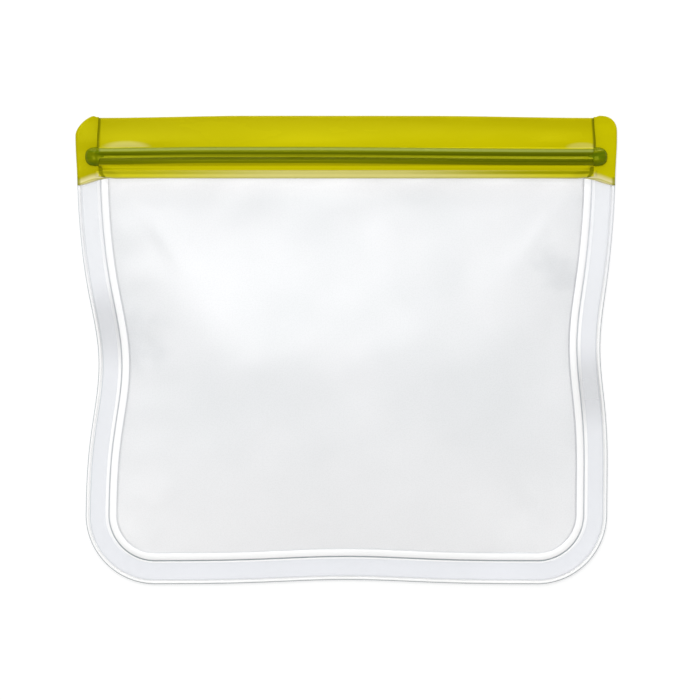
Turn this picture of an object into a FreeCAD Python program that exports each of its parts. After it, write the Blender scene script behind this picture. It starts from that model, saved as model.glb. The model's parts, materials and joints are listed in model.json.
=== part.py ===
"""Reusable zip-top storage bag: two welded plastic films under a coloured header with a double press-lock zip.

The bag lies on its back. X runs across it, Y from its bottom edge to its mouth, and Z up through its
thickness. Lengths are in millimetres. Heights along Y are measured from the bottom edge while the
pieces are drawn, and save() then moves the origin to the middle of the face that the bag lies on.
"""
import FreeCAD
import Part
import math
import os

# Overall size and the sheet stock
WIDTH = 200.0            # across the header, over both side seals
HEIGHT = 173.0           # bottom edge to the top of the lips
FILM = 0.45              # thickness of one film

# Outline of the welded body
BODY_HALF = 96.3         # half width above the bottom corners
CORNER_RADIUS = 25.8     # bottom corners, at the trimmed edge
WAIST_Y = 84.0           # height of the narrowest place
WAIST_DEPTH = 3.6        # how far each side comes in there
WAIST_REACH_UP = 22.0    # how far the waist spreads upwards
WAIST_REACH_DOWN = 25.0  # and downwards
FLARE_FROM = 96.0        # the sides widen from here
FLARE_TO = 150.0         # to here
FLARE = 3.0              # by this much on each side
BOTTOM_RISE = 1.6        # the middle of the bottom edge stands this much higher
BOTTOM_REACH = 32.0      # half length of that rise
SIDE_STATIONS = (140.0, 128.0, 116.0, 104.0, 94.0, 84.0, 74.0, 62.0, 50.0, 38.0)
BOTTOM_STATIONS = (-54.0, -36.0, -18.0, 0.0, 18.0, 36.0, 54.0)

# Welded border, as distances in from the trimmed edge
EDGE_BEAD = 1.2          # width of the bead that the cutting weld leaves on the edge
BAND = 8.7               # inner side of the flat weld band
POCKET = 11.9            # inner side of the seam bead, where the frosted film starts
WELD_THICK = 1.0         # two films pressed into one
EDGE_BEAD_HIGH = 1.3
SEAM_BEAD_HIGH = 1.5
BEAD_CHAMFER = 0.35

# Header, zip and side seals, as heights above the bottom edge
HEADER_BOTTOM = 149.8
LAP = 3.0                # the body films overlap the header by this much
SEAL_BOTTOM = 147.3      # the side seals reach a little below the header
SEAL_WIDE = 8.0
SEAL_THICK = 1.2
SEAL_CORNER = 6.0
SEAL_SHOULDER = 1.0      # width of the fold where the front header leaves the seal
ZIP_Y = 157.9            # middle between the two tracks
TRACK_PITCH = 3.3        # between the middles of the two tracks
STOP_LONG = 4.4          # melted end of the zip, outside the pocket
STOP_CORNER = 2.2
STOP_HIGH = 3.9
STOP_ROUND = 0.6

# Heights through the thickness
HEADER_GAP = 1.55        # free height between the two header films
FRONT_HEADER_Z = FILM + HEADER_GAP
LAP_THICK = 0.8          # body film and header film melted together
FRONT_EDGE_Z = 0.8       # underside of the front film where it meets the seam bead

# Press-lock tracks, seen end-on
FOOT_THICK = 0.15
FOOT_HALF = 1.2
STEM_HALF = 0.3
BULB_RADIUS = 0.62
JAW_INNER = 0.80
JAW_OUTER = 1.25
JAW_GAP_HALF = 0.45      # half the slot that the bulb snaps through
BULB_Z = FILM + 1.5

# Filled shape of the pocket
CROWN = 11.0             # how far the front film stands up in the middle
CROWN_Y = 76.0           # height of the fullest place
ACROSS_POWER = 2.6       # higher is flatter on top and steeper at the border
ALONG_POWER = 2.4
LIFT_FROM = 96.0         # from here to the header the front film rises to the zip's height
LIFT_POWER = 24          # higher keeps that rise closer to the border

# Running clearance round the part of the front that lifts
CLEAR = 0.3
MOUTH_LINE = WAIST_Y     # the front wall bends here when the mouth opens

SEAL_X = WIDTH / 2 - SEAL_WIDE   # inner side of both side seals
FRONT_REACH = SEAL_X - CLEAR     # half length of what lifts at the mouth

PAST = 5.0               # how far a cutting shape reaches past what it cuts
TOUCH = 1e-3             # edges this close to a plane lie on it

V = FreeCAD.Vector


def smooth(t):
    """0 before 0, 1 after 1, with no corner at either end."""
    t = min(1.0, max(0.0, t))
    return t * t * (3 - 2 * t)


def half_width(y):
    """Half the width of the trimmed body at a height."""
    reach = WAIST_REACH_UP if y > WAIST_Y else WAIST_REACH_DOWN
    dip = WAIST_DEPTH * math.exp(-(((y - WAIST_Y) / reach) ** 2))
    return BODY_HALF - dip + FLARE * smooth((y - FLARE_FROM) / (FLARE_TO - FLARE_FROM))


def bottom_edge(x):
    """Height of the trimmed bottom edge."""
    return BOTTOM_RISE * math.exp(-((x / BOTTOM_REACH) ** 2))


def inward(curve, at, inset, step=0.05):
    """(position along the curve, distance moved across it) of a point set in at right angles to a curve."""
    slope = (curve(at + step) - curve(at - step)) / (2 * step)
    across = inset / math.hypot(1, slope)
    return at + slope * across, across


def side_points(inset, top):
    """Right side from the top down to the corner; the first point is level with the top."""
    points = [V(half_width(top) - inward(half_width, top, inset)[1], top, 0)]
    for y in SIDE_STATIONS:
        height, across = inward(half_width, y, inset)
        points.append(V(half_width(y) - across, height, 0))
    return points + [V(BODY_HALF - inset, CORNER_RADIUS, 0)]


def bottom_points(inset):
    """Bottom edge from the right corner to the left one."""
    run = BODY_HALF - CORNER_RADIUS
    middle = [V(x, bottom_edge(x) + inset, 0) for x in reversed(BOTTOM_STATIONS)]
    return [V(run, inset, 0)] + middle + [V(-run, inset, 0)]


def spline(points):
    curve = Part.BSplineCurve()
    curve.interpolate(points)
    return curve.toShape()


def corner(inset, side):
    """Quarter arc at a bottom corner; side is 1 on the right and -1 on the left."""
    radius = CORNER_RADIUS - inset
    centre = V(side * (BODY_HALF - CORNER_RADIUS), CORNER_RADIUS, 0)
    half = radius / math.sqrt(2)
    middle = centre + V(side * half, -half, 0)
    ends = [centre + V(side * radius, 0, 0), centre + V(0, -radius, 0)]
    return Part.Arc(ends[0], middle, ends[1]).toShape()


def mirrored(points):
    return [V(-p.x, p.y, p.z) for p in points]


def region(inset, top):
    """Flat face of the body's outline, set in from the trimmed edge and cut straight at a height."""
    right = side_points(inset, top)
    left = mirrored(right)
    edges = [spline(right), corner(inset, 1), spline(bottom_points(inset)), corner(inset, -1)]
    edges += [spline(left[::-1]), Part.makeLine(left[0], right[0])]
    return Part.Face(Part.Wire(Part.__sortEdges__(edges)))


def slab(face, low, high):
    """A flat face made into a plate between two heights."""
    plate = face.copy()
    plate.translate(V(0, 0, low))
    return plate.extrude(V(0, 0, high - low))


def box(x0, x1, y0, y1, z0, z1):
    return Part.makeBox(x1 - x0, y1 - y0, z1 - z0, V(x0, y0, z0))


def tapered(inset, grow, low, high):
    """Solid between the outline at one height and the same outline set in further at another."""
    ends = [region(inset, HEADER_BOTTOM).OuterWire, region(inset + grow, HEADER_BOTTOM).OuterWire]
    for wire, z in zip(ends, (low, high)):
        wire.translate(V(0, 0, z))
    return Part.makeLoft(ends, True, True)


def border_strip(outer, inner, high, chamfer=0.0):
    """The part of the border between two insets, with its two long top edges broken if asked."""
    shoulder = high - chamfer
    strip = slab(region(outer, HEADER_BOTTOM), 0, shoulder)
    strip = strip.cut(slab(region(inner, HEADER_BOTTOM), -PAST, shoulder))
    if chamfer:
        cap = tapered(outer, chamfer, shoulder, high).cut(tapered(inner, -chamfer, shoulder, high))
        strip = strip.fuse(cap).removeSplitter()
    spans = (-WIDTH, -SEAL_X), (SEAL_X, WIDTH)
    return strip.cut([box(*span, SEAL_BOTTOM, HEIGHT, -PAST, high + PAST) for span in spans])


def crown_z(x, y, across):
    """Height of the front film's outer face; across is 0 on the middle line and -1 or 1 at the border."""
    if y < CROWN_Y:
        along = (CROWN_Y - y) / (CROWN_Y - POCKET - bottom_edge(x))
        fullness = 1 - min(1.0, along) ** ALONG_POWER
    else:
        fullness = 1 - smooth((y - CROWN_Y) / (HEADER_BOTTOM - CROWN_Y))
    swell = CROWN * fullness * (1 - abs(across) ** ACROSS_POWER)
    lift = (FRONT_HEADER_Z - FRONT_EDGE_Z) * smooth((y - LIFT_FROM) / (HEADER_BOTTOM - LIFT_FROM))
    return FRONT_EDGE_Z + FILM + swell + lift * (1 - abs(across) ** LIFT_POWER)


def crowned_film(low, high, inset, columns=33, rows=17):
    """The front film between two heights, made a little too wide and trimmed to the outline at an inset."""
    grid = []
    for i in range(columns):
        across = math.sin(math.pi * (i / (columns - 1) - 0.5))
        line = []
        for j in range(rows):
            y = low + (high - low) * j / (rows - 1)
            x = across * (half_width(y) - POCKET + CLEAR)
            line.append(V(x, y, crown_z(x, y, across)))
        grid.append(line)
    surface = Part.BSplineSurface()
    surface.interpolate(grid)
    film = surface.toShape().extrude(V(0, 0, -FILM))
    return film.common(slab(region(inset, HEIGHT), -PAST, CROWN + PAST))


def back_panel():
    return slab(region(POCKET, HEADER_BOTTOM), 0, FILM)


def lap_weld(low, reach):
    """Strip where a body film is melted onto the foot of the header, from a given underside."""
    return box(-reach, reach, HEADER_BOTTOM, HEADER_BOTTOM + LAP, low, low + LAP_THICK)


def back_header_film():
    return box(-SEAL_X, SEAL_X, HEADER_BOTTOM + LAP, HEIGHT, 0, FILM)


def rod(y, radius, reach):
    """Round bar along X at the height of the bulbs."""
    return Part.makeCylinder(radius, 2 * reach, V(-reach, y, BULB_Z), V(1, 0, 0))


def track_heights():
    """Places of the lower and the upper track along Y."""
    return ZIP_Y - TRACK_PITCH / 2, ZIP_Y + TRACK_PITCH / 2


def front_header_film():
    """The front header, which rises over the jaws of both tracks."""
    foot = HEADER_BOTTOM + LAP
    film = box(-FRONT_REACH, FRONT_REACH, foot, HEIGHT, FRONT_HEADER_Z, FRONT_HEADER_Z + FILM)
    above = box(-FRONT_REACH, FRONT_REACH, foot, HEIGHT, FRONT_HEADER_Z, FRONT_HEADER_Z + PAST)
    film = film.fuse([rod(y, JAW_OUTER + FILM, FRONT_REACH).common(above) for y in track_heights()])
    return film.cut([rod(y, JAW_OUTER, FRONT_REACH) for y in track_heights()]).removeSplitter()


def jaw_track(y):
    """Female track: a C-shaped channel that opens towards the back."""
    slot = box(-FRONT_REACH, FRONT_REACH, y - JAW_GAP_HALF, y + JAW_GAP_HALF, 0, BULB_Z)
    return rod(y, JAW_OUTER, FRONT_REACH).cut([rod(y, JAW_INNER, FRONT_REACH), slot])


def bulb_track(y):
    """Male track: a foot on the back header, a stem and a round bulb."""
    foot = box(-SEAL_X, SEAL_X, y - FOOT_HALF, y + FOOT_HALF, FILM, FILM + FOOT_THICK)
    stem = box(-SEAL_X, SEAL_X, y - STEM_HALF, y + STEM_HALF, FILM, BULB_Z)
    return foot.fuse([stem, rod(y, BULB_RADIUS, SEAL_X)]).removeSplitter()


def side_seal(side):
    """Both header films melted together at one end, with the fold that the front header rises from."""
    plate = box(SEAL_X, WIDTH / 2, SEAL_BOTTOM, HEIGHT, 0, SEAL_THICK)
    outer = [e for e in plate.Edges if e.BoundBox.XMin > WIDTH / 2 - TOUCH]
    plate = plate.makeFillet(SEAL_CORNER, [e for e in outer if e.BoundBox.YMin > HEIGHT - TOUCH])
    fold = box(SEAL_X, SEAL_X + SEAL_SHOULDER, HEADER_BOTTOM, HEIGHT, 0, FRONT_HEADER_Z + FILM)
    seal = plate.fuse(fold).cut(zip_stop(1)).removeSplitter()
    return seal if side > 0 else seal.mirror(V(0, 0, 0), V(1, 0, 0))


def zip_stop(side):
    """One end of the zip, where all four tracks are melted into a rounded block on the side seal."""
    half = TRACK_PITCH / 2 + JAW_OUTER + FILM
    block = box(SEAL_X, SEAL_X + STOP_LONG, ZIP_Y - half, ZIP_Y + half, SEAL_THICK / 2, STOP_HIGH)
    outer = [e for e in block.Edges if e.BoundBox.XMin > SEAL_X + STOP_LONG - TOUCH]
    block = block.makeFillet(STOP_CORNER, [e for e in outer if e.BoundBox.ZLength > 1])
    top = [e for e in block.Edges if e.BoundBox.ZMin > STOP_HIGH - TOUCH]
    block = block.makeFillet(STOP_ROUND, [e for e in top if e.BoundBox.XMax > SEAL_X + TOUCH])
    return block if side > 0 else block.mirror(V(0, 0, 0), V(1, 0, 0))


def save(name, shape):
    """Moves a piece to the bag's frame, tests it and writes its STEP file."""
    shape.translate(V(0, -HEIGHT / 2, 0))
    if not shape.isValid() or not all(s.isClosed() for s in shape.Solids):
        raise ValueError(name + " isn't a valid closed solid")
    shape.exportStep(os.path.join("parts", name + ".step"))
    size = shape.BoundBox
    print("%-20s %d solid %9.1f mm3  x %.1f y %.1f z %.2f..%.2f" % (
        name, len(shape.Solids), shape.Volume, size.XLength, size.YLength, size.ZMin, size.ZMax))


def main():
    os.makedirs("parts", exist_ok=True)
    lower, upper = track_heights()
    pieces = {
        "back_panel": back_panel(),
        "front_panel_lower": crowned_film(POCKET, MOUTH_LINE - CLEAR / 2, POCKET),
        "front_panel_upper": crowned_film(MOUTH_LINE + CLEAR / 2, HEADER_BOTTOM, POCKET + CLEAR),
        "edge_bead": border_strip(0, EDGE_BEAD, EDGE_BEAD_HIGH, BEAD_CHAMFER),
        "weld_band": border_strip(EDGE_BEAD, BAND, WELD_THICK),
        "seam_bead": border_strip(BAND, POCKET, SEAM_BEAD_HIGH, BEAD_CHAMFER),
        "lap_weld_back": lap_weld(0, SEAL_X),
        "lap_weld_front": lap_weld(FRONT_HEADER_Z, FRONT_REACH),
        "back_header_film": back_header_film(),
        "front_header_film": front_header_film(),
        "jaw_track_upper": jaw_track(upper),
        "jaw_track_lower": jaw_track(lower),
        "bulb_track_upper": bulb_track(upper),
        "bulb_track_lower": bulb_track(lower),
        "side_seal_left": side_seal(-1),
        "side_seal_right": side_seal(1),
        "zip_stop_left": zip_stop(-1),
        "zip_stop_right": zip_stop(1),
    }
    for name, shape in pieces.items():
        save(name, shape)


main()
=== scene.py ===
"""Looks of the reusable zip-top storage bag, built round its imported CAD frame.

Shapes are drawn in plan millimetres: x across the bag, y up from its bottom edge and z up from the face that
it lies on. to_frame() moves them to the CAD frame, in metres.
"""
import bpy
import bmesh
import json
import math
import numpy as np
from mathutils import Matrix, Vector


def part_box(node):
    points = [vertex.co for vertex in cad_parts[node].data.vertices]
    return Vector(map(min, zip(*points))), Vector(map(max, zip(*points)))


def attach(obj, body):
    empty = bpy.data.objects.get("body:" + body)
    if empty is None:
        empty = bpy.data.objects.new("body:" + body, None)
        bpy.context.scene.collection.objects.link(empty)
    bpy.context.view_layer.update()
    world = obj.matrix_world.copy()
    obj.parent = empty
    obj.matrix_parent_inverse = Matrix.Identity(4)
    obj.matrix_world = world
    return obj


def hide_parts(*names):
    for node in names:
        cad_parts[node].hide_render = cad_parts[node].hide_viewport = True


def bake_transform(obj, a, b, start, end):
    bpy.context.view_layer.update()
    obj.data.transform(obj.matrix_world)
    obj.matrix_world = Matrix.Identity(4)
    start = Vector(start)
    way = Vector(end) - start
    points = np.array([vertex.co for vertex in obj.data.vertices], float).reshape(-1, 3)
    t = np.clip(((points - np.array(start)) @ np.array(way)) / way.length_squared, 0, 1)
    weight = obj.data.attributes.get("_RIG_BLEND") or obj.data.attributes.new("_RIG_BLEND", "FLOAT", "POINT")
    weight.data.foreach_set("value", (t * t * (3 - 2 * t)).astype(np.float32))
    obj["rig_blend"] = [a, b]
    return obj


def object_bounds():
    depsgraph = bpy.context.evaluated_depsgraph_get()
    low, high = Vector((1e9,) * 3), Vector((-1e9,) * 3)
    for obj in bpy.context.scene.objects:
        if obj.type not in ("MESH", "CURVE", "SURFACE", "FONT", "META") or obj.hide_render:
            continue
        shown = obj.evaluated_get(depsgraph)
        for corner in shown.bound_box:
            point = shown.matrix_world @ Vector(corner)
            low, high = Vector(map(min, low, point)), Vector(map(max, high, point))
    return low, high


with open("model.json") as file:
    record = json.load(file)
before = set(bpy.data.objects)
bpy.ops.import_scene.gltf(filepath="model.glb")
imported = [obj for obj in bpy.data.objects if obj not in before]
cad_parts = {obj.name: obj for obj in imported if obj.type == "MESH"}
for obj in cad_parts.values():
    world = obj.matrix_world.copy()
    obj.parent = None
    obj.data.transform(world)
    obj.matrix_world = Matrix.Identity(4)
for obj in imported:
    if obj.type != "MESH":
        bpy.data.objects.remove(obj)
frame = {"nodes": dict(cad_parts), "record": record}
cad_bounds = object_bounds()

MM = 0.001
HEIGHT = (cad_bounds[1][1] - cad_bounds[0][1]) / MM
HALF_WIDTH = (cad_bounds[1][0] - cad_bounds[0][0]) / MM / 2


def plan_box(node):
    """Lowest and highest corner of a CAD node, in plan millimetres."""
    shift = np.array([0, HEIGHT / 2, 0])
    return [np.array(corner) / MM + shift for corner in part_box(node)]


# Heights and sizes that the CAD frame gives
LAP_LOW, LAP_HIGH = plan_box("lap_weld_front")
HEADER_LOW = LAP_LOW[1]
HEADER_FILM_LOW = LAP_HIGH[1]
SEAL_LOW, SEAL_HIGH = plan_box("side_seal_right")
SEAL_X = SEAL_LOW[0]
STOP_LOW, STOP_HIGH = plan_box("zip_stop_right")
TRACKS = [sum(plan_box(node))[1] / 2 for node in ("jaw_track_lower", "jaw_track_upper")]
BEAD_TOP = plan_box("edge_bead")[1][2]
BAND_TOP = plan_box("weld_band")[1][2]
SEAM_TOP = plan_box("seam_bead")[1][2]
FILM = plan_box("back_panel")[1][2]
HEADER_TOP_Z = LAP_LOW[2] + FILM
SEAL_TOP = BAND_TOP + 0.2
HINGE = frame["record"]["behaviour"]["joints"][0]["pos_m"]

# Outline of the welded body, the same as the CAD part's
BODY_HALF = 96.3         # half width above the bottom corners
CORNER_RADIUS = 25.8
WAIST_Y = 84.0           # height of the narrowest place
WAIST_DEPTH = 3.6
WAIST_REACH_UP = 22.0
WAIST_REACH_DOWN = 25.0
FLARE_FROM = 96.0        # the sides widen from here
FLARE_TO = 150.0
FLARE = 3.0              # by this much on each side
BOTTOM_RISE = 1.6        # the middle of the bottom edge stands this much higher
BOTTOM_REACH = 32.0      # half length of that rise

# Insets of the border's three parts: where each ends, measured in from the trimmed edge
EDGE_BEAD = 1.2
BAND = 8.7
POCKET = 11.9
FILM_OVERLAP = 0.5       # the body films run this far into the seam bead
FILM_TUCK = 1.0          # and this far up under the laps
EDGE_SHOULDER = 0.55     # height at which the edge bead's round top starts
SEAM_SHOULDER = 0.8
BEAD_WOBBLE = 0.05       # unevenness of both beads, as a share of their roundness

# Filled shape of the front film, the same as the CAD part's
CROWN = 11.0             # how far it stands up in the middle
CROWN_Y = 76.0           # height of the fullest place
ACROSS_POWER = 2.6       # higher is flatter on top and steeper at the border
ALONG_POWER = 2.4
LIFT_FROM = 96.0         # from here to the header it rises to the zip's height
LIFT_POWER = 24
FILM_EDGE_Z = 1.25       # its top where it meets the seam bead

# Press-lock tracks
JAW_INNER = 0.80
JAW_OUTER = 1.25
JAW_SLOT = 0.45          # half the slot that the bulb snaps through
TRACK_Z = FILM + 1.5     # middle of both tracks

# Limp, the body lies bowed to the right
BOW = 1.45               # this far
BOW_Y = 72.0             # at this height
BOW_REACH = 27.0

MOUTH_BEND_END = 136.0   # the front film bends between the hinge and this height
GRID = 1.0               # spacing of the points on the films

# Slack of the front film
DENTS = (                # centre x and y, reach up and down, depth
    (-74, 93, 15, 0.55),
    (76, 88, 13, 0.9),
    (66, 34, 12, 0.7),
)
DENT_WIDE = 10.0
FOLDS = (                # start x and y, heading in degrees, length, height
    (-84, 147, -50, 62, 0.40),
    (-80, 148, -68, 48, -0.25),
    (84, 147, -126, 56, 0.35),
    (79, 148, -104, 44, -0.22),
    (-80, 18, 50, 46, 0.32),
    (81, 17, 128, 50, 0.32),
)

# Painted shade patches on the front film, for the shade of its slack wrinkles: centre x and y, half width and
# half height
SHADE_PATCHES = ((-77, 90, 9, 10), (76, 21, 11, 11), (78, 116, 8, 7), (-73, 17, 8, 6))

# Where the border turns away from the light at the waist: distance along the outline from the header
WAIST_RIGHT = 78.0
WAIST_LEFT = 55.0

# Ends of the header
SEAL_TUCK = 0.6          # a side seal starts this far inside SEAL_X, under the header's fold
TONGUE_LONG = 3.4        # its melted foot reaches this much further in
TONGUE_HIGH = 1.0
FOOT_SLANT = 2.5         # the foot's inner end is this much higher than its outer end
LEFT_CORNER, LEFT_SQUARENESS = 7.0, 1.55
RIGHT_CORNER, RIGHT_SQUARENESS = 6.0, 2.3
LAP_RISE_FROM = 84.5     # from here out the foot of a lap rises
LAP_RISE = 0.6
LAP_ARCH = 0.3           # roundness of a lap's long edges
DROP_FROM = 82.0         # at its foot, the front header film starts to come down to the seals here
FRONT_END = 0.9          # it runs this far into the seals
LAP_END = 0.5            # and the laps this far
BACK_END = 0.3           # the tracks and the back header film start this far inside the left seal
BACK_LAP_TOP = 0.5       # before its roundness

# Screen colours that several materials share, 0 to 255
# Painted highlight on the clear welds
HIGHLIGHT_WHITE = (255, 255, 255)
CREAM = (222, 213, 158)      # body film melted over the header's colour
FOLD_SHADE = (124, 124, 0)   # painted shade of the fold at each end of the header

# Studio light
FLOOR_GLOW = 0.57        # the floor is a light table, so that films stay bright where they shade it
FLOOR_WHITE = 0.45
FLOOR_REACH = 3.0        # in metres, as the gap under the bag is
FLOOR_GAP = 0.0002
WORLD_LIGHT = 0.62       # what the surroundings light the bag with
WORLD_MIRRORED = 0.55    # what glossy surfaces mirror of them overhead; nothing at the horizon

# Camera, in metres: straight above, a little to the right of the middle
CAMERA_X = 0.0014
CAMERA_HIGH = 1.25
VIEW_WIDE = 0.2587       # width of the view at the bag
SENSOR = 36.0            # in millimetres


# ---------------------------------------------------------------- shape functions

def smooth(t):
    """0 before 0, 1 after 1, with no corner at either end."""
    t = np.clip(t, 0, 1)
    return t * t * (3 - 2 * t)


def bump(x, centre, reach):
    """Bell curve of height 1."""
    return np.exp(-(((x - centre) / reach) ** 2))


def undulation(x, y, seed, length, waves=9):
    """Gentle random waves between about -1 and 1, about one length from crest to crest."""
    rng = np.random.RandomState(seed)
    total = 0 * (x + y)
    for _ in range(waves):
        heading, phase = rng.uniform(0, 2 * math.pi, 2)
        pitch = 2 * math.pi / (length * rng.uniform(0.7, 1.6))
        total = total + np.cos(pitch * (x * math.cos(heading) + y * math.sin(heading)) + phase)
    return total / math.sqrt(2 * waves)


def body_half(y):
    """Half the width of the trimmed body at a height above the bottom corners."""
    reach = np.where(y > WAIST_Y, WAIST_REACH_UP, WAIST_REACH_DOWN)
    dip = WAIST_DEPTH * bump(y, WAIST_Y, reach)
    return BODY_HALF - dip + FLARE * smooth((y - FLARE_FROM) / (FLARE_TO - FLARE_FROM))


def bottom_edge(x):
    """Height of the bottom's trimmed edge, which rises a little in the middle."""
    return BOTTOM_RISE * bump(x, 0, BOTTOM_REACH)


def inset_half(y, inset):
    """Half the width at a height, of the outline set in from the trimmed edge, corners included."""
    step = 0.05
    slope = (body_half(y + step) - body_half(y - step)) / (2 * step)
    side = body_half(y) - inset * np.hypot(1, slope)
    radius = CORNER_RADIUS - inset
    drop = np.clip(CORNER_RADIUS - y, 0, radius)
    corner = BODY_HALF - CORNER_RADIUS + np.sqrt(radius ** 2 - drop ** 2)
    return np.where(y < CORNER_RADIUS, corner, side)


def outline_path():
    """Points and inward normals along the trimmed edge, from the top right, round the bottom, to the left."""
    run = BODY_HALF - CORNER_RADIUS
    ys = np.arange(HEADER_LOW + 0.4, CORNER_RADIUS, -GRID)
    angles = np.linspace(0, math.pi / 2, 38)
    side = np.stack([body_half(ys), ys], axis=1)
    arc = np.stack([run + CORNER_RADIUS * np.cos(angles), CORNER_RADIUS * (1 - np.sin(angles))], axis=1)
    xs = np.arange(run - GRID, 0, -GRID)
    floor = np.stack([xs, bottom_edge(xs)], axis=1)
    half = np.concatenate([side, arc, floor])
    points = np.concatenate([half, [[0, BOTTOM_RISE]], half[::-1] * [-1, 1]])
    ahead = np.gradient(points, axis=0)
    ahead /= np.linalg.norm(ahead, axis=1, keepdims=True)
    return points, np.stack([ahead[:, 1], -ahead[:, 0]], axis=1)


def outline_length():
    """Length of the trimmed edge, from one end of the header to the other."""
    points = outline_path()[0]
    return float(np.linalg.norm(np.diff(points, axis=0), axis=1).sum())


def taper_across(x):
    """How far the mouth opens across the bag: fully in the middle and not at all at the side seals."""
    return (1 + np.cos(math.pi * np.clip(np.abs(x) / SEAL_X, 0, 1))) / 2


# ---------------------------------------------------------------- mesh building

def to_frame(points):
    """From plan millimetres to the frame's metres; the limp body lies slightly bowed to the right."""
    x, y, z = np.moveaxis(np.asarray(points, float), -1, 0)
    return np.stack([x + BOW * bump(y, BOW_Y, BOW_REACH), y - HEIGHT / 2, z], axis=-1) * MM


def quads(index):
    """Faces of a grid of point numbers."""
    return np.stack([index[:-1, :-1], index[1:, :-1], index[1:, 1:], index[:-1, 1:]], axis=-1).reshape(-1, 4)


def piece(name, points, faces, plan, materials, inner=()):
    """A smooth-shaded object from points in plan millimetres, with the plan stored as its UV map, in metres.

    materials is one material, or a pair whose second one is for the faces numbered in inner.
    """
    mesh = bpy.data.meshes.new(name)
    mesh.from_pydata(to_frame(points).tolist(), [], [list(map(int, f)) for f in faces])
    work = bmesh.new()
    work.from_mesh(mesh)
    bmesh.ops.recalc_face_normals(work, faces=work.faces)
    work.to_mesh(mesh)
    work.free()
    uv = mesh.uv_layers.new(name="plan")
    corners = np.zeros(len(mesh.loops), np.int32)
    mesh.loops.foreach_get("vertex_index", corners)
    uv.data.foreach_set("uv", (np.asarray(plan, float)[corners] * MM).astype(np.float32).ravel())
    mesh.shade_smooth()
    for material in materials:
        mesh.materials.append(material)
    slots = np.zeros(len(mesh.polygons), np.int32)
    slots[list(inner)] = 1
    mesh.polygons.foreach_set("material_index", slots)
    obj = bpy.data.objects.new(name, mesh)
    bpy.context.collection.objects.link(obj)
    return obj


def under(top, thickness):
    """The other face of a film: the grid moved down its own normals."""
    normal = np.cross(np.gradient(top, axis=0), np.gradient(top, axis=1))
    normal /= np.linalg.norm(normal, axis=2, keepdims=True)
    normal *= np.sign(normal[..., 2:3])
    return top - normal * thickness


def film(name, top, bottom, materials, plan=None, inner="bottom"):
    """A closed film between two grids of points; of two materials, the second is for the face named inner."""
    rows, columns = top.shape[:2]
    index = np.arange(rows * columns).reshape(rows, columns)
    below = index + rows * columns
    faces = [quads(index), quads(below)[:, ::-1]]
    for edge in (np.s_[0, :], np.s_[-1, :], np.s_[:, 0], np.s_[:, -1]):
        faces.append(quads(np.stack([index[edge], below[edge]])))
    flat = top[..., :2] if plan is None else plan
    plan_points = np.concatenate([flat.reshape(-1, 2)] * 2)
    points = np.concatenate([top.reshape(-1, 3), bottom.reshape(-1, 3)])
    inside = ()
    if len(materials) == 2:
        first = 0 if inner == "top" else len(faces[0])
        inside = range(first, first + len(faces[0]))
    return piece(name, points, np.concatenate(faces), plan_points, materials, inside)


def sweep(name, stations, plan, materials, inner_columns=()):
    """A closed bar from a stack of section loops, with both ends capped."""
    count, around = stations.shape[:2]
    index = np.arange(count * around).reshape(count, around)
    loop = np.concatenate([index, index[:, :1]], axis=1)
    faces = list(quads(loop)) + [index[0], index[-1][::-1]]
    inside = [row * around + column for row in range(count - 1) for column in inner_columns]
    return piece(name, stations.reshape(-1, 3), faces, plan.reshape(-1, 2), materials, inside)


def open_with_mouth(obj):
    """Lets a piece of the front wall lift with the mouth, fading out towards the side seals."""
    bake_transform(obj, "bag", "front_wall", start=HINGE, end=to_frame([0, MOUTH_BEND_END, HINGE[2] / MM]))
    count = len(obj.data.vertices)
    places = np.zeros(count * 3)
    obj.data.vertices.foreach_get("co", places)
    weights = np.zeros(count, np.float32)
    attribute = obj.data.attributes["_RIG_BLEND"].data
    attribute.foreach_get("value", weights)
    weights *= taper_across(places[0::3] / MM).astype(np.float32)
    attribute.foreach_set("value", weights)


# ---------------------------------------------------------------- materials

def srgb(red, green, blue):
    """Linear colour of an 8-bit screen colour."""
    def linear(value):
        value /= 255
        return value / 12.92 if value <= 0.04045 else ((value + 0.055) / 1.055) ** 2.4
    return (linear(red), linear(green), linear(blue), 1)


def grey(value):
    return (value, value, value, 1)


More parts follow.
